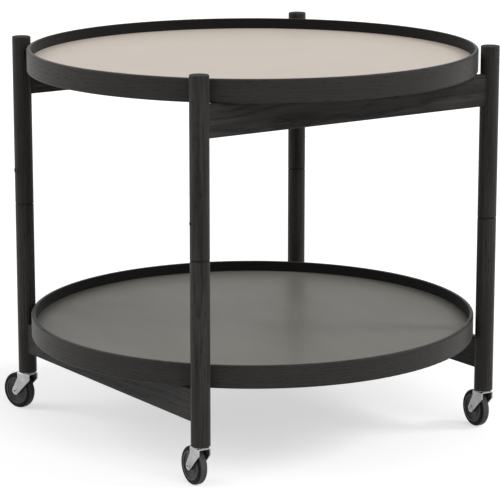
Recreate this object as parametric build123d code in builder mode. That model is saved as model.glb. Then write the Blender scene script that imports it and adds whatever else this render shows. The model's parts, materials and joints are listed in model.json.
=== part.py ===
from build123d import *
from math import cos, radians, sin, sqrt
import os

# A serving trolley: two round lift-off trays on a folding four-legged frame with swivel casters.
# Millimetres, +Z up. The origin is the middle of the floor under the trolley. +X runs along the
# upper rails from the left legs to the right legs, and +Y from the front legs to the back legs.

# Trays
TRAY_DIAMETER = 600.0
RIM_WALL = 5.5
RIM_HEIGHT = 30.0
RIM_OUTER_ROUND = 2.0
RIM_INNER_ROUND = 1.0
PANEL_RECESS = 14.5  # from the top edge of the rim down to the panel
CORE_THICKNESS = 2.4
LAMINATE_THICKNESS = 0.8
GROOVE_DEPTH = 2.5  # it takes the core and the bottom laminate; the top one lies inside the rim
PANEL_PLAY = 0.2  # round the edge of each layer

# Legs
LEG_DIAMETER = 25.0
TRAY_TO_LEG_GAP = 3.0
FOLDED_LEG_GAP = 1.0  # between the two legs that lie side by side in the folded frame
LOWER_LEG_LENGTH = 237.5
UPPER_LEG_LENGTH = 229.5
LEG_ABOVE_RIM = 7.0
LEG_TOP_ROUND = 1.5
LEG_FOOT_CHAMFER = 1.0
SEAM_CHAMFER = 0.5

# Rails, each with a stub tenon at both ends
RAIL_THICKNESS = 12.0
RAIL_HEIGHT = 42.0
RAIL_ROUND = 2.0
TENON_THICKNESS = 8.0
TENON_SHOULDER = 6.0
TENON_DEPTH = 9.0
MORTISE_SPARE = 0.5  # empty length past the end of a tenon
WOOD_OVER_SOCKET = 4.0  # between the caster's bore and the mortise above it
GLUE_GAP = 0.05  # round each tenon, and round every piece that is glued, pressed or riveted in

# Pivots in the legs
PIN_DIAMETER = 8.0
PIN_LENGTH = 110.0
PIN_CHAMFER = 0.5
WASHER_DIAMETER = 23.4
WASHER_THICKNESS = 1.0
WASHER_PLAY = 0.1
PIVOT_PLAY = 0.05  # on the radius, in the bore of the upper leg
OPEN_PIVOT_PLAY = 0.10  # the same at the back right leg, where the linkage is opened
BORE_SPARE = 1.0  # empty length past the end of a pin or a sleeve

# Retaining screws, one in each upper leg, their points in the grooves of the pins
SCREW_BELOW_PIN_TOP = 8.0
SCREW_DIAMETER = 5.0
SCREW_HEAD_DIAMETER = 8.0
SCREW_HEAD_HEIGHT = 3.0
SCREW_HEAD_PROUD = 0.4
SCREW_HEAD_PLAY = 0.2
SCREW_POINT_DIAMETER = 4.0
SCREW_POINT_PLAY = 0.4  # between the point and the bottom of the groove
SCREW_TO_PIN_GAP = 0.6  # between the threaded length and the pin
HEX_SOCKET_WIDTH = 3.0
HEX_SOCKET_DEPTH = 2.0
PIN_GROOVE_DEPTH = 1.0
PIN_GROOVE_SIDE_PLAY = 0.7

# Casters
WHEEL_DIAMETER = 50.0
TYRE_WIDTH = 12.5
TYRE_THICKNESS = 6.0
TREAD_ROUND = 4.0
HUB_DIAMETER = 12.0
HUB_SIDE_PLAY = 0.3
WHEEL_DISC_THICKNESS = 10.5
WHEEL_LIP = 2.5  # the ring of the wheel that carries the tyre
INNER_RIB_DIAMETER = 20.0
OUTER_RIB_DIAMETER = 26.4
WHEEL_RIB_WIDTH = 1.0
WHEEL_RIB_HEIGHT = 0.6  # above the disc, on both sides
AXLE_DIAMETER = 5.0
AXLE_BORE = 3.0
AXLE_PLAY = 0.05
AXLE_HEAD_DIAMETER = 7.6
AXLE_HEAD_HEIGHT = 0.8
CASTER_TRAIL = 16.5
FORK_WIDTH = 18.0
FORK_SHEET = 1.5
FORK_BEND_ROUND = 2.0
FORK_BOSS_DIAMETER = 11.0
FORK_REAR = 12.0  # from the stem towards the axle
FORK_FRONT = 9.9  # from the stem away from the axle
FORK_REAR_EDGE = 8.3
FORK_FRONT_EDGE = 9.3
CROWN_TO_WHEEL = 1.3
SWIVEL_PLAY = 0.05
SPIGOT_DIAMETER = 6.0
RIVET_HEAD_DIAMETER = 10.0
RIVET_HEAD_HEIGHT = 1.0
COLLAR_DIAMETER = 14.0
COLLAR_THICKNESS = 0.35
STEM_DIAMETER = 8.0
STEM_LENGTH = 29.0
STEM_CHAMFER = 0.6
SOCKET_DIAMETER = 10.0
SOCKET_LENGTH = 30.0
FLANGE_DIAMETER = 20.0
FLANGE_THICKNESS = 0.8

# The way each caster trails, in degrees from +Y towards +X
CASTER_YAW = {"front_left": 3.8, "front_right": 5.8, "back_left": -17.2, "back_right": -5.0}

# Plan of the legs: a rectangle round the tray whose sides differ by one leg and the folded gap
TRAY_RADIUS = TRAY_DIAMETER / 2
LEG_RADIUS = LEG_DIAMETER / 2
LEG_CIRCLE = TRAY_RADIUS + TRAY_TO_LEG_GAP + LEG_RADIUS
HALF_DIFFERENCE = (LEG_DIAMETER + FOLDED_LEG_GAP) / 2
MEAN_SPAN = sqrt(2 * LEG_CIRCLE**2 - HALF_DIFFERENCE**2)
UPPER_SPAN = MEAN_SPAN + HALF_DIFFERENCE
LOWER_SPAN = MEAN_SPAN - HALF_DIFFERENCE
LEG_AXES = {
    "front_left": (-UPPER_SPAN / 2, -LOWER_SPAN / 2),
    "front_right": (UPPER_SPAN / 2, -LOWER_SPAN / 2),
    "back_left": (-UPPER_SPAN / 2, LOWER_SPAN / 2),
    "back_right": (UPPER_SPAN / 2, LOWER_SPAN / 2),
}

# Heights, from the floor up
AXLE_HEIGHT = WHEEL_DIAMETER / 2
CROWN_BOTTOM = WHEEL_DIAMETER + CROWN_TO_WHEEL
CROWN_TOP = CROWN_BOTTOM + FORK_SHEET
COLLAR_TOP = CROWN_TOP + COLLAR_THICKNESS
FLANGE_BOTTOM = COLLAR_TOP + SWIVEL_PLAY
LEG_BOTTOM = FLANGE_BOTTOM + FLANGE_THICKNESS
SEAM_BOTTOM = LEG_BOTTOM + LOWER_LEG_LENGTH
SEAM_TOP = SEAM_BOTTOM + WASHER_THICKNESS
LEG_TOP = SEAM_TOP + UPPER_LEG_LENGTH
PIN_BOTTOM = (SEAM_BOTTOM + SEAM_TOP - PIN_LENGTH) / 2
PIN_TOP = PIN_BOTTOM + PIN_LENGTH
SCREW_HEIGHT = PIN_TOP - SCREW_BELOW_PIN_TOP
LOWER_TENON_BOTTOM = LEG_BOTTOM + SOCKET_LENGTH + BORE_SPARE + WOOD_OVER_SOCKET
LOWER_RAIL_BOTTOM = LOWER_TENON_BOTTOM - TENON_SHOULDER
LOWER_TRAY_BOTTOM = LOWER_RAIL_BOTTOM + RAIL_HEIGHT
UPPER_TRAY_BOTTOM = LEG_TOP - LEG_ABOVE_RIM - RIM_HEIGHT
UPPER_RAIL_BOTTOM = UPPER_TRAY_BOTTOM - RAIL_HEIGHT

# Sizes that several pieces share
TENON_HEIGHT = RAIL_HEIGHT - 2 * TENON_SHOULDER
TENON_END = LEG_RADIUS - TENON_DEPTH
PANEL_THICKNESS = CORE_THICKNESS + 2 * LAMINATE_THICKNESS
PANEL_ABOVE_RIM_BOTTOM = RIM_HEIGHT - PANEL_RECESS - PANEL_THICKNESS
RIM_INNER_RADIUS = TRAY_RADIUS - RIM_WALL
GROOVE_RADIUS = RIM_INNER_RADIUS + GROOVE_DEPTH
GROOVE_HEIGHT = CORE_THICKNESS + LAMINATE_THICKNESS
SCREW_HEAD_SEAT = LEG_RADIUS + SCREW_HEAD_PROUD - SCREW_HEAD_HEIGHT
CORE_DIAMETER = WHEEL_DIAMETER - 2 * TYRE_THICKNESS
FORK_INNER_WIDTH = FORK_WIDTH - 2 * FORK_SHEET

UP = Vector(0, 0, 1)


def direction(start, end):
    """The level unit vector from one leg axis to another."""
    return (Vector(*end, 0) - Vector(*start, 0)).normalized()


def trail_direction(corner):
    yaw = radians(CASTER_YAW[corner])
    return Vector(sin(yaw), cos(yaw), 0)


def axle_direction(corner):
    return trail_direction(corner).cross(UP)


def mortise_plane(corner, partner, height):
    """The closed end of a mortise in one leg, facing the leg at the rail's other end."""
    x, y = LEG_AXES[corner]
    outward = direction(LEG_AXES[corner], LEG_AXES[partner])
    inner_end = Vector(x, y, height) + outward * (TENON_END - MORTISE_SPARE)
    return Plane(origin=inner_end, x_dir=UP.cross(outward), z_dir=outward)


def lower_leg(corner, partner):
    x, y = LEG_AXES[corner]
    foot = Plane(origin=(x, y, LEG_BOTTOM), z_dir=(0, 0, -1))
    seam = Plane((x, y, SEAM_BOTTOM))
    with BuildPart() as leg:
        with BuildSketch(Plane((x, y, LEG_BOTTOM))):
            Circle(LEG_RADIUS)
        extrude(amount=LOWER_LEG_LENGTH)
        chamfer(leg.edges().filter_by(GeomType.CIRCLE).sort_by(Axis.Z)[0], LEG_FOOT_CHAMFER)
        chamfer(leg.edges().filter_by(GeomType.CIRCLE).sort_by(Axis.Z)[-1], SEAM_CHAMFER)
        with Locations(foot):
            Hole(SOCKET_DIAMETER / 2 + GLUE_GAP, depth=SOCKET_LENGTH + BORE_SPARE)
        with Locations(seam):
            Hole(PIN_DIAMETER / 2 + GLUE_GAP, depth=SEAM_BOTTOM - PIN_BOTTOM + BORE_SPARE)
        with BuildSketch(mortise_plane(corner, partner, LOWER_RAIL_BOTTOM + RAIL_HEIGHT / 2)):
            Rectangle(TENON_THICKNESS + 2 * GLUE_GAP, TENON_HEIGHT + 2 * GLUE_GAP)
        extrude(amount=LEG_DIAMETER, mode=Mode.SUBTRACT)
    leg.part.label = f"{corner}_lower_leg"
    export_step(leg.part, f"parts/{corner}_lower_leg.step")


def upper_leg(corner, partner, pivot_play):
    x, y = LEG_AXES[corner]
    outer_side = -direction(LEG_AXES[corner], LEG_AXES[partner])
    screw_face = Vector(x, y, SCREW_HEIGHT) + outer_side * LEG_RADIUS
    seam = Plane(origin=(x, y, SEAM_TOP), z_dir=(0, 0, -1))
    with BuildPart() as leg:
        with BuildSketch(Plane((x, y, SEAM_TOP))):
            Circle(LEG_RADIUS)
        extrude(amount=UPPER_LEG_LENGTH)
        chamfer(leg.edges().filter_by(GeomType.CIRCLE).sort_by(Axis.Z)[0], SEAM_CHAMFER)
        fillet(leg.edges().filter_by(GeomType.CIRCLE).sort_by(Axis.Z)[-1], LEG_TOP_ROUND)
        with Locations(seam):
            Hole(PIN_DIAMETER / 2 + pivot_play, depth=PIN_TOP - SEAM_TOP + BORE_SPARE)
        with Locations(Plane(origin=screw_face, z_dir=outer_side)):
            CounterBoreHole(
                radius=SCREW_DIAMETER / 2 + GLUE_GAP,
                counter_bore_radius=SCREW_HEAD_DIAMETER / 2 + SCREW_HEAD_PLAY,
                counter_bore_depth=LEG_RADIUS - SCREW_HEAD_SEAT,
                depth=LEG_RADIUS,
            )
        with BuildSketch(mortise_plane(corner, partner, UPPER_RAIL_BOTTOM + RAIL_HEIGHT / 2)):
            Rectangle(TENON_THICKNESS + 2 * GLUE_GAP, TENON_HEIGHT + 2 * GLUE_GAP)
        extrude(amount=LEG_DIAMETER, mode=Mode.SUBTRACT)
    leg.part.label = f"{corner}_upper_leg"
    export_step(leg.part, f"parts/{corner}_upper_leg.step")


def rail(name, start, end, bottom):
    """A rail between two legs: coped shoulders that hug the legs, and a stub tenon at each end."""
    along = direction(LEG_AXES[start], LEG_AXES[end])
    span = (Vector(*LEG_AXES[end]) - Vector(*LEG_AXES[start])).length
    first_axis = Vector(*LEG_AXES[start], bottom + RAIL_HEIGHT / 2)
    leg_section = Plane(origin=first_axis, x_dir=UP.cross(along), z_dir=along)
    with BuildPart() as board:
        with BuildSketch(leg_section):
            RectangleRounded(RAIL_THICKNESS, RAIL_HEIGHT, RAIL_ROUND)
        extrude(amount=span)
        with BuildSketch(Plane.XY.offset(bottom)):
            with Locations(LEG_AXES[start], LEG_AXES[end]):
                Circle(LEG_RADIUS + GLUE_GAP)
        extrude(amount=RAIL_HEIGHT, mode=Mode.SUBTRACT)
        with BuildSketch(leg_section.offset(TENON_END)):
            Rectangle(TENON_THICKNESS, TENON_HEIGHT)
        extrude(amount=span - 2 * TENON_END)
    board.part.label = name
    export_step(board.part, f"parts/{name}.step")


def pivot_pin(corner):
    x, y = LEG_AXES[corner]
    groove_width = SCREW_POINT_DIAMETER + 2 * PIN_GROOVE_SIDE_PLAY
    with BuildPart() as pin:
        with BuildSketch(Plane((x, y, PIN_BOTTOM))):
            Circle(PIN_DIAMETER / 2)
        extrude(amount=PIN_LENGTH)
        chamfer(pin.edges().filter_by(GeomType.CIRCLE), PIN_CHAMFER)
        with BuildSketch(Plane((x, y, SCREW_HEIGHT - groove_width / 2))):
            Circle(PIN_DIAMETER / 2)
            Circle(PIN_DIAMETER / 2 - PIN_GROOVE_DEPTH, mode=Mode.SUBTRACT)
        extrude(amount=groove_width, mode=Mode.SUBTRACT)
    pin.part.label = f"{corner}_pivot_pin"
    export_step(pin.part, f"parts/{corner}_pivot_pin.step")


def seam_washer(corner):
    with BuildPart() as washer:
        with BuildSketch(Plane((*LEG_AXES[corner], SEAM_BOTTOM))):
            Circle(WASHER_DIAMETER / 2)
            Circle(PIN_DIAMETER / 2 + WASHER_PLAY, mode=Mode.SUBTRACT)
        extrude(amount=WASHER_THICKNESS)
    washer.part.label = f"{corner}_seam_washer"
    export_step(washer.part, f"parts/{corner}_seam_washer.step")


def retaining_screws(name, corners):
    """The two screws of one upper frame, heads outward, points in the grooves of the pins."""
    point_end = PIN_DIAMETER / 2 - PIN_GROOVE_DEPTH + SCREW_POINT_PLAY
    thread_end = PIN_DIAMETER / 2 + SCREW_TO_PIN_GAP
    head_top = SCREW_HEAD_SEAT + SCREW_HEAD_HEIGHT
    with BuildPart() as screws:
        for corner, partner in zip(corners, reversed(corners)):
            x, y = LEG_AXES[corner]
            outer_side = -direction(LEG_AXES[corner], LEG_AXES[partner])
            screw = Plane(origin=(x, y, SCREW_HEIGHT), z_dir=outer_side)
            with BuildSketch(screw.offset(point_end)):
                Circle(SCREW_POINT_DIAMETER / 2)
            extrude(amount=thread_end - point_end)
            with BuildSketch(screw.offset(thread_end)):
                Circle(SCREW_DIAMETER / 2)
            extrude(amount=SCREW_HEAD_SEAT - thread_end)
            with BuildSketch(screw.offset(SCREW_HEAD_SEAT)):
                Circle(SCREW_HEAD_DIAMETER / 2)
            extrude(amount=SCREW_HEAD_HEIGHT)
            with BuildSketch(screw.offset(head_top)):
                RegularPolygon(HEX_SOCKET_WIDTH / 2, 6, major_radius=False)
            extrude(amount=-HEX_SOCKET_DEPTH, mode=Mode.SUBTRACT)
    screws.part.label = name
    export_step(screws.part, f"parts/{name}.step")


def tray_rim(tray, bottom):
    groove_middle = bottom + PANEL_ABOVE_RIM_BOTTOM + GROOVE_HEIGHT / 2
    with BuildPart() as rim:
        with BuildSketch(Plane.XZ) as section:
            with Locations((TRAY_RADIUS - RIM_WALL / 2, bottom + RIM_HEIGHT / 2)):
                Rectangle(RIM_WALL, RIM_HEIGHT)
            fillet(section.vertices().group_by(Axis.X)[-1], RIM_OUTER_ROUND)
            fillet(section.vertices().group_by(Axis.X)[0], RIM_INNER_ROUND)
            with Locations((GROOVE_RADIUS - GROOVE_DEPTH / 2, groove_middle)):
                Rectangle(GROOVE_DEPTH, GROOVE_HEIGHT, mode=Mode.SUBTRACT)
        revolve(axis=Axis.Z)
    rim.part.label = f"{tray}_rim"
    export_step(rim.part, f"parts/{tray}_rim.step")


def panel_layer(name, bottom, thickness, outer_radius):
    with BuildPart() as layer:
        with BuildSketch(Plane.XY.offset(bottom)):
            Circle(outer_radius - PANEL_PLAY)
        extrude(amount=thickness)
    layer.part.label = name
    export_step(layer.part, f"parts/{name}.step")


def tray(name, bottom):
    """A rim with a three-layer panel, the lower two layers of it in the rim's groove."""
    panel_bottom = bottom + PANEL_ABOVE_RIM_BOTTOM
    core_bottom = panel_bottom + LAMINATE_THICKNESS
    core_top = core_bottom + CORE_THICKNESS
    tray_rim(name, bottom)
    panel_layer(f"{name}_bottom_laminate", panel_bottom, LAMINATE_THICKNESS, GROOVE_RADIUS)
    panel_layer(f"{name}_core", core_bottom, CORE_THICKNESS, GROOVE_RADIUS)
    panel_layer(f"{name}_top_laminate", core_top, LAMINATE_THICKNESS, RIM_INNER_RADIUS)


def caster_socket(corner):
    x, y = LEG_AXES[corner]
    with BuildPart() as socket:
        with BuildSketch(Plane((x, y, FLANGE_BOTTOM))):
            Circle(FLANGE_DIAMETER / 2)
        extrude(amount=FLANGE_THICKNESS)
        with BuildSketch(Plane((x, y, LEG_BOTTOM))):
            Circle(SOCKET_DIAMETER / 2)
        extrude(amount=SOCKET_LENGTH)
        with Locations(Plane((x, y, LEG_BOTTOM + SOCKET_LENGTH))):
            Hole(STEM_DIAMETER / 2 + SWIVEL_PLAY, depth=SOCKET_LENGTH + FLANGE_THICKNESS)
    socket.part.label = f"{corner}_caster_socket"
    export_step(socket.part, f"parts/{corner}_caster_socket.step")


def caster_stem(corner):
    """The stem with its collar above the fork's crown and its riveted spigot through the crown."""
    x, y = LEG_AXES[corner]
    rivet_bottom = CROWN_BOTTOM - RIVET_HEAD_HEIGHT
    with BuildPart() as stem:
        with BuildSketch(Plane((x, y, rivet_bottom))):
            Circle(RIVET_HEAD_DIAMETER / 2)
        extrude(amount=RIVET_HEAD_HEIGHT)
        with BuildSketch(Plane((x, y, CROWN_BOTTOM))):
            Circle(SPIGOT_DIAMETER / 2)
        extrude(amount=FORK_SHEET)
        with BuildSketch(Plane((x, y, CROWN_TOP))):
            Circle(COLLAR_DIAMETER / 2)
        extrude(amount=COLLAR_THICKNESS)
        with BuildSketch(Plane((x, y, COLLAR_TOP))):
            Circle(STEM_DIAMETER / 2)
        extrude(amount=STEM_LENGTH)
        chamfer(stem.edges().filter_by(GeomType.CIRCLE).sort_by(Axis.Z)[-1], STEM_CHAMFER)
    stem.part.label = f"{corner}_caster_stem"
    export_step(stem.part, f"parts/{corner}_caster_stem.step")


def caster_fork(corner):
    """A bent sheet: a flat crown under the stem and two plates that slant back to the axle."""
    x, y = LEG_AXES[corner]
    side = Plane(origin=(x, y, 0), x_dir=trail_direction(corner), z_dir=axle_direction(corner))
    with BuildPart() as fork:
        with BuildSketch(side):
            with BuildLine():
                Line((-FORK_FRONT, CROWN_TOP - FORK_FRONT_EDGE), (FORK_REAR, CROWN_TOP - FORK_REAR_EDGE))
            with Locations((CASTER_TRAIL, AXLE_HEIGHT)):
                Circle(FORK_BOSS_DIAMETER / 2)
            make_hull()
            with BuildLine():
                Polyline(
                    (-FORK_FRONT, CROWN_TOP - FORK_FRONT_EDGE),
                    (-FORK_FRONT, CROWN_TOP),
                    (FORK_REAR, CROWN_TOP),
                    (FORK_REAR, CROWN_TOP - FORK_REAR_EDGE),
                    close=True,
                )
            make_face()
        extrude(amount=FORK_WIDTH / 2, both=True)
        bends = fork.edges().group_by(Axis.Z)[-1].filter_by(Axis(side.origin, side.x_dir))
        fillet(bends, FORK_BEND_ROUND)
        with BuildSketch(side):
            with Locations(((FORK_REAR - FORK_FRONT) / 2, CROWN_BOTTOM / 2)):
                Rectangle(4 * WHEEL_DIAMETER, CROWN_BOTTOM)
        extrude(amount=FORK_INNER_WIDTH / 2, both=True, mode=Mode.SUBTRACT)
        with BuildSketch(side):
            with Locations((CASTER_TRAIL, AXLE_HEIGHT)):
                Circle(AXLE_DIAMETER / 2 + GLUE_GAP)
        extrude(amount=FORK_WIDTH, both=True, mode=Mode.SUBTRACT)
        with Locations(Plane((x, y, CROWN_TOP))):
            Hole(SPIGOT_DIAMETER / 2 + GLUE_GAP, depth=FORK_SHEET)
    fork.part.label = f"{corner}_caster_fork"
    export_step(fork.part, f"parts/{corner}_caster_fork.step")


def axle_plane(corner):
    """A drawing plane on the wheel's axle: along the axle to the right, radius up."""
    x, y = LEG_AXES[corner]
    centre = Vector(x, y, AXLE_HEIGHT) + trail_direction(corner) * CASTER_TRAIL
    return Plane(origin=centre, x_dir=axle_direction(corner), z_dir=-trail_direction(corner))


def axle_axis(corner):
    plane = axle_plane(corner)
    return Axis(plane.origin, plane.x_dir)


def caster_axle(corner):
    """A tubular rivet through both plates, with a flat head outside each."""
    with BuildPart() as axle:
        with BuildSketch(axle_plane(corner)):
            with Locations((0, AXLE_DIAMETER / 4)):
                Rectangle(FORK_WIDTH, AXLE_DIAMETER / 2)
            with Locations((-(FORK_WIDTH + AXLE_HEAD_HEIGHT) / 2, AXLE_HEAD_DIAMETER / 4)):
                Rectangle(AXLE_HEAD_HEIGHT, AXLE_HEAD_DIAMETER / 2)
            with Locations(((FORK_WIDTH + AXLE_HEAD_HEIGHT) / 2, AXLE_HEAD_DIAMETER / 4)):
                Rectangle(AXLE_HEAD_HEIGHT, AXLE_HEAD_DIAMETER / 2)
            with Locations((0, AXLE_BORE / 4)):
                Rectangle(2 * FORK_WIDTH, AXLE_BORE / 2, mode=Mode.SUBTRACT)
        revolve(axis=axle_axis(corner))
    axle.part.label = f"{corner}_caster_axle"
    export_step(axle.part, f"parts/{corner}_caster_axle.step")


def wheel(corner):
    """A hub, a thinner disc with two round ribs on each face and a ring under the tyre, in one."""
    hub_length = FORK_INNER_WIDTH - 2 * HUB_SIDE_PLAY
    bore_radius = AXLE_DIAMETER / 2 + AXLE_PLAY
    ring_inner = CORE_DIAMETER / 2 - WHEEL_LIP
    rib_length = WHEEL_DISC_THICKNESS + 2 * WHEEL_RIB_HEIGHT
    with BuildPart() as core:
        with BuildSketch(axle_plane(corner)):
            with Locations((0, (bore_radius + HUB_DIAMETER / 2) / 2)):
                Rectangle(hub_length, HUB_DIAMETER / 2 - bore_radius)
            with Locations((0, (bore_radius + CORE_DIAMETER / 2) / 2)):
                Rectangle(WHEEL_DISC_THICKNESS, CORE_DIAMETER / 2 - bore_radius)
            with Locations((0, INNER_RIB_DIAMETER / 2), (0, OUTER_RIB_DIAMETER / 2)):
                Rectangle(rib_length, WHEEL_RIB_WIDTH)
            with Locations((0, (ring_inner + CORE_DIAMETER / 2) / 2)):
                Rectangle(TYRE_WIDTH, WHEEL_LIP)
        revolve(axis=axle_axis(corner))
    core.part.label = f"{corner}_wheel"
    export_step(core.part, f"parts/{corner}_wheel.step")


def tyre(corner):
    inner = CORE_DIAMETER / 2 + GLUE_GAP
    outer = WHEEL_DIAMETER / 2
    with BuildPart() as tread:
        with BuildSketch(axle_plane(corner)) as section:
            with Locations((0, (inner + outer) / 2)):
                Rectangle(TYRE_WIDTH, outer - inner)
            fillet(section.vertices().group_by(Axis.Y)[-1], TREAD_ROUND)
        revolve(axis=axle_axis(corner))
    tread.part.label = f"{corner}_tyre"
    export_step(tread.part, f"parts/{corner}_tyre.step")


def caster(corner):
    caster_socket(corner)
    caster_stem(corner)
    caster_fork(corner)
    caster_axle(corner)
    wheel(corner)
    tyre(corner)


os.makedirs("parts", exist_ok=True)

# Two lower frames, each two lower half-legs and one rail from front to back
lower_leg("front_left", "back_left")
lower_leg("back_left", "front_left")
rail("left_lower_rail", "front_left", "back_left", LOWER_RAIL_BOTTOM)
lower_leg("front_right", "back_right")
lower_leg("back_right", "front_right")
rail("right_lower_rail", "front_right", "back_right", LOWER_RAIL_BOTTOM)

# Two upper frames, each two upper half-legs and one rail from left to right
upper_leg("front_left", "front_right", PIVOT_PLAY)
upper_leg("front_right", "front_left", PIVOT_PLAY)
rail("front_upper_rail", "front_left", "front_right", UPPER_RAIL_BOTTOM)
upper_leg("back_left", "back_right", PIVOT_PLAY)
upper_leg("back_right", "back_left", OPEN_PIVOT_PLAY)
rail("back_upper_rail", "back_left", "back_right", UPPER_RAIL_BOTTOM)

# The pivots and the casters
for corner in LEG_AXES:
    pivot_pin(corner)
    seam_washer(corner)
    caster(corner)
retaining_screws("front_retaining_screws", ("front_left", "front_right"))
retaining_screws("back_retaining_screws", ("back_left", "back_right"))

# The trays
tray("lower_tray", LOWER_TRAY_BOTTOM)
tray("upper_tray", UPPER_TRAY_BOTTOM)
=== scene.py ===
import json
import math

import bpy
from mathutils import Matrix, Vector


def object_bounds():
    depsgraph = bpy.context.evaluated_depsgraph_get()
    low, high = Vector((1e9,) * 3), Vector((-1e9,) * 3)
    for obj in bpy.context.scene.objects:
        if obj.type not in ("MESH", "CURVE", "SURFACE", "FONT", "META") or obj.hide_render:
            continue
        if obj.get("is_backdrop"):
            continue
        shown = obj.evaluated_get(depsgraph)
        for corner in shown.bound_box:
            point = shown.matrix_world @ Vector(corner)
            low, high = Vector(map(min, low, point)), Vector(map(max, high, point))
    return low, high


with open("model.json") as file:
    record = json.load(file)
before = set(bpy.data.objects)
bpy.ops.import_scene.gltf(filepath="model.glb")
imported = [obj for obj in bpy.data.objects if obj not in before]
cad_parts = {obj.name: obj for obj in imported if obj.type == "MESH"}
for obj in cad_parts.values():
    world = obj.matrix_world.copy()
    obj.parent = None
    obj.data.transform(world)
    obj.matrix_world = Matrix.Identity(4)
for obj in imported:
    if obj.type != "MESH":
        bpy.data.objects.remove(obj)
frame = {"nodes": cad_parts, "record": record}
cad_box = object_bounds()

# Lengths are in metres, with +Z up. Every node keeps its shape from the frame, and this
# script dresses it.

WHITE = (1.0, 1.0, 1.0)

# How brightly the background lights, the floor's colour and how much paler its grain is, the
# glow that the camera, metal and glass see on it, and how far it reaches each way
AMBIENT = 0.34
FLOOR_DIFFUSE = 0.65
FLOOR_GRAIN = 0.01
FLOOR_GLOW = 0.58
FLOOR_REACH = 14.0

# Each lamp's azimuth and elevation in degrees, its level, and its spread in degrees
LAMPS = {
    "right_light": (325.0, 36.0, 0.37, 20.0),
    "front_light": (266.0, 36.0, 0.34, 40.0),
    "left_light": (146.0, 37.0, 0.30, 40.0),
}

# Where the camera is, and how far it turns from +Y towards +X and looks down, in radians.
# The sensor and the lens are in millimetres.
CAMERA_PLACE = (-1.88326, -2.70587, 0.96362)
CAMERA_YAW = 0.6070
CAMERA_PITCH = 0.2170
SENSOR_WIDTH = 36.0
FOCAL_LENGTH = 179.36
CLIP_START = 0.1
CLIP_END = 100.0

# The radius round which the rims' grain bends, and that of their inner wall, along which shade is
# painted into the oak
BEND_RADIUS = 0.3
INNER_WALL = 0.2945

# The height of the upper half-legs' lower edge, where the painted shade in the seam between the
# half-legs is darkest, how far from it that painted shade starts and is full, and how full it is
SEAM_EDGE = 0.2930
SEAM_SHADE_FADE = (0.0012, 0.0008)
SEAM_SHADE_DEPTH = 0.7

# The oak's colours: the stain where it took most and least, in the pores, where it is deep on
# end grain and painted as shade in seams and on the rims' inner wall, and where an edge is
# rubbed, which also paints a highlight
DARK_STAIN = (0.0118, 0.0104, 0.0095)
LIGHT_STAIN = (0.0410, 0.0366, 0.0337)
PORE_STAIN = (0.0040, 0.0038, 0.0036)
DEEP_STAIN_AND_SHADE = (0.0065, 0.0056, 0.0052)
RUBBED_AND_HIGHLIT = (0.060, 0.050, 0.041)

# How fine each of the oak's noises is, twice across the grain and once along it
WAVE_SCALE = (16.0, 16.0, 3.2)
TONE_SCALE = (70.0, 70.0, 9.0)
RUB_SCALE = (120.0, 120.0, 40.0)
STREAK_SCALE = (240.0, 240.0, 7.0)
FIBRE_SCALE = (900.0, 900.0, 16.0)
PORE_SCALE = (1900.0, 1900.0, 95.0)

# The thickness of two plies of the panels' core, one dark and one light
PLY_PAIR = 0.0016

# The radius to which each kind of piece rounds its edges in the light
OAK_ROUND = 0.0009
LAMINATE_ROUND = 0.0004
CORE_ROUND = 0.0003
METAL_ROUND = 0.0004
MOULDED_ROUND = 0.0005
ROUND_SAMPLES = 6


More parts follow.
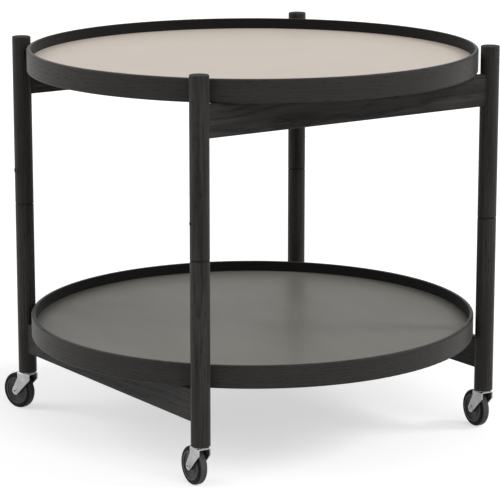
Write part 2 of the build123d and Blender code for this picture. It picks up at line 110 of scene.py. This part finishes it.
class Shader:
    """Builds the nodes of one material, or of the world."""

    def __init__(self, owner, output="ShaderNodeOutputMaterial"):
        owner.use_nodes = True
        self.owner = owner
        self.tree = owner.node_tree
        self.tree.nodes.clear()
        self.output = self.tree.nodes.new(output)

    def feed(self, socket, value):
        if isinstance(value, bpy.types.NodeSocket):
            self.tree.links.new(value, socket)
        elif isinstance(value, tuple) and len(value) == 3 and socket.type == "RGBA":
            socket.default_value = (*value, 1.0)
        else:
            socket.default_value = value

    def node(self, kind, inputs=None, **settings):
        made = self.tree.nodes.new(kind)
        for key, value in settings.items():
            setattr(made, key, value)
        for key, value in (inputs or {}).items():
            self.feed(made.inputs[key], value)
        return made

    def show(self, surface):
        self.tree.links.new(surface, self.output.inputs[0])
        return self.owner

    def math(self, operation, *values, clamp=False):
        made = self.node("ShaderNodeMath", operation=operation, use_clamp=clamp)
        for socket, value in zip(made.inputs, values):
            self.feed(socket, value)
        return made.outputs[0]

    def times(self, first, *others):
        for other in others:
            first = self.math("MULTIPLY", first, other)
        return first

    def plus(self, total, *parts, clamp=False):
        """The total and each part times its weight, held from 0 to 1 at the end if asked."""
        for number, (part, weight) in enumerate(parts, start=1):
            last = number == len(parts)
            total = self.math("ADD", total, self.times(part, weight), clamp=clamp and last)
        return total

    def length(self, first, second):
        squares = self.math("ADD", self.times(first, first), self.times(second, second))
        return self.math("SQRT", squares)

    def own(self, which):
        """The point in the object's own frame, or the normal there."""
        return self.node("ShaderNodeTexCoord").outputs[which]

    def numbers(self, vector):
        return tuple(self.node("ShaderNodeSeparateXYZ", {0: vector}).outputs)

    def noise(self, point, scale, detail=3.0, roughness=0.5):
        """The scale is one number, or one for each direction."""
        scales = scale if isinstance(scale, tuple) else (scale, scale, scale)
        stretched = self.node("ShaderNodeMapping", {"Vector": point, "Scale": scales}).outputs[0]
        inputs = {"Vector": stretched, "Scale": 1.0, "Detail": detail, "Roughness": roughness}
        return self.node("ShaderNodeTexNoise", inputs).outputs[0]

    def spread(self, value, low, high, to_low=0.0, to_high=1.0):
        made = self.node("ShaderNodeMapRange", interpolation_type="SMOOTHSTEP")
        for index, number in enumerate((value, low, high, to_low, to_high)):
            self.feed(made.inputs[index], number)
        return made.outputs[0]

    def blend(self, factor, first, second):
        made = self.node("ShaderNodeMix", {0: factor, 6: first, 7: second}, data_type="RGBA")
        return made.outputs[2]

    def rounded(self, radius):
        """The normal, with the edges rounded."""
        return self.node("ShaderNodeBevel", {"Radius": radius}, samples=ROUND_SAMPLES).outputs[0]

    def edge(self, rounded):
        """How near the point is to an edge, from 0 to 1."""
        flat = self.node("ShaderNodeNewGeometry").outputs["Normal"]
        dot = self.node("ShaderNodeVectorMath", {0: rounded, 1: flat}, operation="DOT_PRODUCT")
        return self.spread(dot.outputs["Value"], 0.995, 0.90)

    def bump(self, height, distance, normal, strength):
        inputs = {"Height": height, "Distance": distance, "Strength": strength, "Normal": normal}
        return self.node("ShaderNodeBump", inputs).outputs[0]

    def surface(self, color, roughness, normal, **constants):
        inputs = {"Base Color": color, "Roughness": roughness, "Normal": normal}
        inputs.update((key.replace("_", " "), value) for key, value in constants.items())
        return self.show(self.node("ShaderNodeBsdfPrincipled", inputs).outputs[0])

    def seen(self):
        """1 where the camera, a metal or a glass sees the surface, and 0 where it gives light."""
        path = self.node("ShaderNodeLightPath").outputs
        seen = self.math("MAXIMUM", path["Is Camera Ray"], path["Is Glossy Ray"])
        return self.math("MAXIMUM", seen, path["Is Transmission Ray"])


def material(name):
    return Shader(bpy.data.materials.new(name))


def along_grain(shader, run, x, y, z):
    """Two coordinates across the grain, and one along it."""
    if run == "z":
        return x, y, z
    if run == "x":
        return y, z, x
    if run == "y":
        return x, z, y
    # A bent strip, its ends meeting at the back right leg
    ahead = shader.times(shader.math("ADD", x, y), -math.sqrt(0.5))
    aside = shader.times(shader.math("SUBTRACT", y, x), math.sqrt(0.5))
    angle = shader.math("ARCTAN2", aside, ahead)
    return shader.length(x, y), z, shader.times(angle, BEND_RADIUS)


def deep_stain_and_painted_shade(shader, run, across, z):
    """Deeper stain on end grain; painted shade in the legs' seams and on the rims' inner wall."""
    if run == "z":
        upward = shader.numbers(shader.own("Normal"))[2]
        # Painted shade in the seam between the half-legs
        from_seam = shader.math("ABSOLUTE", shader.math("SUBTRACT", z, SEAM_EDGE))
        seam_shade = shader.spread(from_seam, *SEAM_SHADE_FADE, 0.0, SEAM_SHADE_DEPTH)
        return shader.math("MAXIMUM", shader.spread(upward, 0.80, 0.98), seam_shade)
    if run == "bent":
        # Painted shade along the rims' inner wall
        return shader.spread(across, INNER_WALL + 0.0008, INNER_WALL + 0.0002)
    return 0.0


def oak(name, run, pith, spacing, warp, contrast, mottle, even=0.45, sheen=0.06):
    """Black-stained oak, its grain along an axis, or bent round the trolley. The pith is where
    the growth rings centre, as two coordinates across the grain; spacing and warp are the
    rings', in metres, and contrast is how much their early wood darkens. Mottle is how uneven
    the stain took, even is how light it is, from 0 to 1, where it took evenly, and sheen is
    how much it pales towards its outline."""
    shader = material(name)
    x, y, z = shader.numbers(shader.own("Object"))
    across, other, along = along_grain(shader, run, x, y, z)
    grain = shader.node("ShaderNodeCombineXYZ", {0: across, 1: other, 2: along}).outputs[0]

    # Growth rings, waving slowly along the piece
    wave = shader.noise(grain, WAVE_SCALE)
    first = shader.math("SUBTRACT", across, pith[0])
    second = shader.math("SUBTRACT", other, pith[1])
    depth = shader.plus(shader.length(first, second), (wave, warp))
    ring = shader.math("FRACT", shader.math("DIVIDE", depth, spacing))
    early = shader.times(shader.spread(ring, 0.0, 0.20), shader.spread(ring, 0.70, 0.30))

    # Long fibres, and the open pores that gather in the early part of each ring
    fibre = shader.noise(grain, FIBRE_SCALE, roughness=0.6)
    streak = shader.noise(grain, STREAK_SCALE, roughness=0.6)
    tone = shader.noise(grain, TONE_SCALE, roughness=0.55)
    pore_limit = shader.plus(0.70, (early, -0.15))
    above_limit = shader.math("SUBTRACT", shader.noise(grain, PORE_SCALE, detail=1.0), pore_limit)
    pore = shader.spread(above_limit, -0.02, 0.05)

    light = shader.plus(
        shader.times(shader.spread(tone, 0.38, 0.64), 0.40),
        (shader.spread(streak, 0.38, 0.66), 0.38),
        (shader.spread(fibre, 0.38, 0.66), 0.22),
        (early, -contrast),
    )
    light = shader.plus(even * (1.0 - mottle), (light, mottle), clamp=True)
    stain = shader.blend(light, DARK_STAIN, LIGHT_STAIN)
    stain = shader.blend(shader.times(pore, 0.70), stain, PORE_STAIN)
    # Darker on end grain, and painted shade in the legs' seams and on the rims' inner wall
    deep_and_shaded = deep_stain_and_painted_shade(shader, run, across, z)
    stain = shader.blend(deep_and_shaded, stain, DEEP_STAIN_AND_SHADE)

    # Edges rubbed a little lighter, in patches, which also paints the highlight that edges and
    # chamfers catch
    rounded = shader.rounded(OAK_ROUND)
    rub = shader.spread(shader.noise(grain, RUB_SCALE), 0.42, 0.72)
    rubbed_and_highlit = shader.times(shader.edge(rounded), rub, 0.40)
    if run == "z":
        rubbed_and_highlit = shader.times(rubbed_and_highlit, shader.math("SUBTRACT", 1.0, deep_and_shaded))
    # Rubbed edges, partly a painted highlight
    color = shader.blend(rubbed_and_highlit, stain, RUBBED_AND_HIGHLIT)

    roughness = shader.plus(
        0.42, (fibre, 0.16), (early, 0.3 * contrast), (pore, 0.20), (deep_and_shaded, 0.30), clamp=True
    )
    height = shader.plus(shader.times(fibre, 0.35), (pore, -1.0), (early, -contrast))
    normal = shader.bump(height, 0.00012, rounded, 0.4 + 0.4 * mottle)
    gloss = {"Specular_IOR_Level": 0.16, "Sheen_Weight": sheen, "Sheen_Roughness": 0.45}
    return shader.surface(color, roughness, normal, **gloss)


def laminate(name, color, shade, roughness, level, coat):
    """A matt laminate: a faint cloudiness, a fine even texture and light rubbed spots. Level is
    how strongly it reflects, and coat is a thin glossier layer over it."""
    shader = material(name)
    point = shader.own("Object")
    cloud = shader.noise(point, 5.0, detail=4.0, roughness=0.55)
    mottle = shader.noise(point, 140.0)
    speck = shader.noise(point, 2400.0, detail=2.0)
    amount = shader.plus(shader.times(cloud, 0.55), (mottle, 0.30), (speck, 0.15))
    tint = shader.blend(shader.spread(amount, 0.36, 0.64), shade, color)
    wiped = shader.noise(point, (22.0, 9.0, 9.0), detail=4.0, roughness=0.6)
    gloss = shader.spread(wiped, 0.30, 0.70, roughness + 0.02, roughness - 0.02)
    gloss = shader.plus(gloss, (speck, 0.04))
    height = shader.plus(speck, (mottle, 0.4))
    normal = shader.bump(height, 0.00002, shader.rounded(LAMINATE_ROUND), 0.7)
    shine = {"Specular_IOR_Level": level, "Coat_Weight": coat, "Coat_Roughness": 0.14}
    return shader.surface(tint, gloss, normal, **shine)


def plywood(name):
    """The panels' core, in thin plies of alternating tone."""
    shader = material(name)
    point = shader.own("Object")
    z = shader.numbers(point)[2]
    ply = shader.spread(shader.math("SINE", shader.times(z, 2 * math.pi / PLY_PAIR)), -0.3, 0.3)
    fibre = shader.noise(point, (20.0, 700.0, 700.0), roughness=0.6)
    tone = shader.blend(fibre, (0.36, 0.25, 0.15), (0.56, 0.42, 0.27))
    color = shader.blend(shader.times(ply, 0.4), tone, (0.30, 0.20, 0.12))
    roughness = shader.plus(0.55, (fibre, 0.25))
    normal = shader.bump(fibre, 0.00010, shader.rounded(CORE_ROUND), 0.8)
    return shader.surface(color, roughness, normal, Specular_IOR_Level=0.3)


def metal(name, color, shade, roughness, brush, wear):
    """Bare or plated metal: fine brushing, a cloudy crystal pattern and polished edges. Brush
    is how fine the brushing is in each direction."""
    shader = material(name)
    point = shader.own("Object")
    lines = shader.noise(point, brush, roughness=0.65)
    spangle = shader.noise(point, 420.0, roughness=0.6)
    cloud = shader.noise(point, 90.0, detail=2.0)
    amount = shader.plus(shader.times(spangle, 0.5), (cloud, 0.5))
    tint = shader.blend(shader.spread(amount, 0.36, 0.64), shade, color)
    rounded = shader.rounded(METAL_ROUND)
    tint = shader.blend(shader.times(shader.edge(rounded), wear), tint, (0.80, 0.80, 0.79))
    gloss = shader.plus(roughness - 0.06, (lines, 0.16), (spangle, 0.06))
    normal = shader.bump(lines, 0.00002, rounded, 0.6)
    return shader.surface(tint, gloss, normal, Metallic=1.0)


def moulded(name, color, shade, roughness, scale, depth, level=0.4, scuffed_and_highlit_tread=None):
    """Moulded plastic or rubber: a grain of a scale and a depth, handling marks and paler edges.
    The tread colour is for what faces away from the axle, which lies nearly along X: partly
    scuffing, and partly a painted highlight."""
    shader = material(name)
    point = shader.own("Object")
    grain = shader.noise(point, scale, roughness=0.55)
    dust = shader.noise(point, 160.0, detail=4.0, roughness=0.6)
    rounded = shader.rounded(MOULDED_ROUND)
    tint = shader.blend(shader.spread(dust, 0.40, 0.68), color, shade)
    paler = tuple(3.0 * part for part in shade)
    tint = shader.blend(shader.times(shader.edge(rounded), 0.30), tint, paler)
    # Paler tread: scuffing and a painted highlight
    if scuffed_and_highlit_tread:
        sideways = shader.math("ABSOLUTE", shader.numbers(shader.own("Normal"))[0])
        outward = shader.spread(sideways, 0.75, 0.35)
        scuff_and_highlight = shader.times(outward, shader.spread(dust, 0.25, 0.50, 0.75, 1.0))
        tint = shader.blend(scuff_and_highlight, tint, scuffed_and_highlit_tread)
    gloss = shader.plus(roughness - 0.05, (dust, 0.14))
    normal = shader.bump(grain, depth, rounded, 0.7)
    return shader.surface(tint, gloss, normal, Specular_IOR_Level=level)


# The oak for each direction of the grain, by how the names of its nodes end
OAKS = {
    "_leg": oak(
        "black_oak_legs", "z",
        pith=(0.031, -0.017), spacing=0.0031, warp=0.022, contrast=0.15, mottle=0.85,
    ),
    "_upper_rail": oak(
        "black_oak_upper_rails", "x",
        pith=(0.012, 0.398), spacing=0.0036, warp=0.024, contrast=0.20, mottle=1.0,
    ),
    # Lower rails: a darker, more even stain, painted shade for where they lie under the trays
    "_lower_rail": oak(
        "black_oak_lower_rails_painted_shade", "y",
        pith=(-0.014, 0.031), spacing=0.0034, warp=0.024, contrast=0.08, mottle=0.45,
        even=0.05,
    ),
    "_rim": oak(
        "black_oak_rims", "bent",
        pith=(0.262, 0.055), spacing=0.0045, warp=0.040, contrast=0.02, mottle=0.24,
        even=0.45, sheen=0.09,
    ),
}

# The material of each other slot of the record
OTHERS = {
    "beige_laminate": laminate(
        "beige_laminate", (0.580, 0.510, 0.443), (0.553, 0.485, 0.420),
        roughness=0.46, level=0.22, coat=0.04,
    ),
    "grey_laminate": laminate(
        "grey_laminate", (0.164, 0.160, 0.138), (0.155, 0.151, 0.130),
        roughness=0.42, level=0.13, coat=0.04,
    ),
    "backing_laminate": laminate(
        "backing_laminate", (0.034, 0.033, 0.032), (0.026, 0.025, 0.024),
        roughness=0.55, level=0.3, coat=0.0,
    ),
    "panel_core": plywood("panel_core"),
    "zinc_plate": metal(
        "zinc_plate", (0.47, 0.47, 0.465), (0.36, 0.36, 0.36),
        roughness=0.36, brush=(200.0, 200.0, 2600.0), wear=0.6,
    ),
    "pivot_steel": metal(
        "pivot_steel", (0.56, 0.55, 0.54), (0.47, 0.46, 0.45),
        roughness=0.26, brush=(60.0, 60.0, 6000.0), wear=0.4,
    ),
    "screw_steel": metal(
        "screw_steel", (0.040, 0.039, 0.038), (0.028, 0.027, 0.026),
        roughness=0.46, brush=(900.0, 900.0, 900.0), wear=0.04,
    ),
    "washer_plastic": moulded(
        "washer_plastic", (0.009, 0.009, 0.009), (0.013, 0.013, 0.013),
        roughness=0.55, scale=3000.0, depth=0.00002, level=0.15,
    ),
    "wheel_plastic": moulded(
        "wheel_plastic", (0.017, 0.017, 0.018), (0.025, 0.025, 0.025),
        roughness=0.42, scale=2600.0, depth=0.00003,
    ),
    "tyre_rubber": moulded(
        "tyre_rubber", (0.004, 0.004, 0.004), (0.008, 0.008, 0.008),
        roughness=0.55, scale=1500.0, depth=0.00006, level=0.10, scuffed_and_highlit_tread=(0.068, 0.067, 0.065),
    ),
}


def look_of(name, slot):
    if slot != "black_oak":
        return OTHERS[slot]
    return next(wood for ending, wood in OAKS.items() if name.endswith(ending))


def dress_nodes():
    for part in frame["record"]["subparts"]:
        name, slot = part["node"], part["material_slot"]
        slots = frame["nodes"][name].data.materials
        slots.clear()
        slots.append(look_of(name, slot))


def floor_material():
    shader = material("studio_floor")
    grain = shader.noise(shader.own("Object"), 60.0)
    dark = (FLOOR_DIFFUSE,) * 3
    light = (FLOOR_DIFFUSE + FLOOR_GRAIN,) * 3
    color = shader.blend(grain, dark, light)
    plain = shader.node("ShaderNodeBsdfDiffuse", {"Color": color}).outputs[0]
    strength = shader.times(shader.seen(), FLOOR_GLOW)
    glow = shader.node("ShaderNodeEmission", {"Color": WHITE, "Strength": strength}).outputs[0]
    return shader.show(shader.node("ShaderNodeAddShader", {0: plain, 1: glow}).outputs[0])


def make_floor():
    signs = ((-1, -1), (1, -1), (1, 1), (-1, 1))
    corners = [(FLOOR_REACH * x, FLOOR_REACH * y, 0.0) for x, y in signs]
    mesh = bpy.data.meshes.new("studio_floor")
    mesh.from_pydata(corners, [], [(0, 1, 2, 3)])
    floor = bpy.data.objects.new("studio_floor", mesh)
    bpy.context.scene.collection.objects.link(floor)
    mesh.materials.append(floor_material())
    floor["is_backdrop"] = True


def make_world():
    world = bpy.data.worlds.new("studio")
    bpy.context.scene.world = world
    shader = Shader(world, "ShaderNodeOutputWorld")
    inputs = {"Value": shader.seen(), "To Min": AMBIENT, "To Max": 1.0}
    level = shader.node("ShaderNodeMapRange", inputs).outputs[0]
    background = shader.node("ShaderNodeBackground", {"Color": WHITE, "Strength": level})
    shader.show(background.outputs[0])


def add_aimed(name, data, direction, axis):
    """Puts a lamp or a camera in the scene, one of its own axes along a direction."""
    holder = bpy.data.objects.new(name, data)
    holder.rotation_mode = "QUATERNION"
    holder.rotation_quaternion = direction.to_track_quat(axis, "Y")
    bpy.context.scene.collection.objects.link(holder)
    return holder


def make_lamp(name, azimuth, elevation, level, spread):
    """A soft distant light that comes from an azimuth, from +X towards +Y, and an elevation.
    The level is what it adds to a pale surface that faces it. Angles are in degrees."""
    lamp = bpy.data.lights.new(name, "SUN")
    lamp.energy = level * math.pi
    lamp.angle = math.radians(spread)
    turn, rise = math.radians(azimuth), math.radians(elevation)
    flat = math.cos(rise)
    place = Vector((math.cos(turn) * flat, math.sin(turn) * flat, math.sin(rise)))
    add_aimed(name, lamp, place, "Z")


def make_camera():
    """It looks down a little at the middle of the trolley, with nothing shifted."""
    lens = bpy.data.cameras.new("view")
    lens.sensor_width = SENSOR_WIDTH
    lens.lens = FOCAL_LENGTH
    lens.clip_start = CLIP_START
    lens.clip_end = CLIP_END
    flat = math.cos(CAMERA_PITCH)
    ahead = (math.sin(CAMERA_YAW) * flat, math.cos(CAMERA_YAW) * flat, -math.sin(CAMERA_PITCH))
    camera = add_aimed("view", lens, Vector(ahead), "-Z")
    camera.location = CAMERA_PLACE
    bpy.context.scene.camera = camera


dress_nodes()
make_floor()
make_world()
for lamp_name, settings in LAMPS.items():
    make_lamp(lamp_name, *settings)
make_camera()
bpy.context.scene.view_settings.view_transform = "Standard"

bpy.context.view_layer.update()
boxes = {"cad": cad_box, "visual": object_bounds()}
boxes = {key: [list(corner) for corner in box] for key, box in boxes.items()}
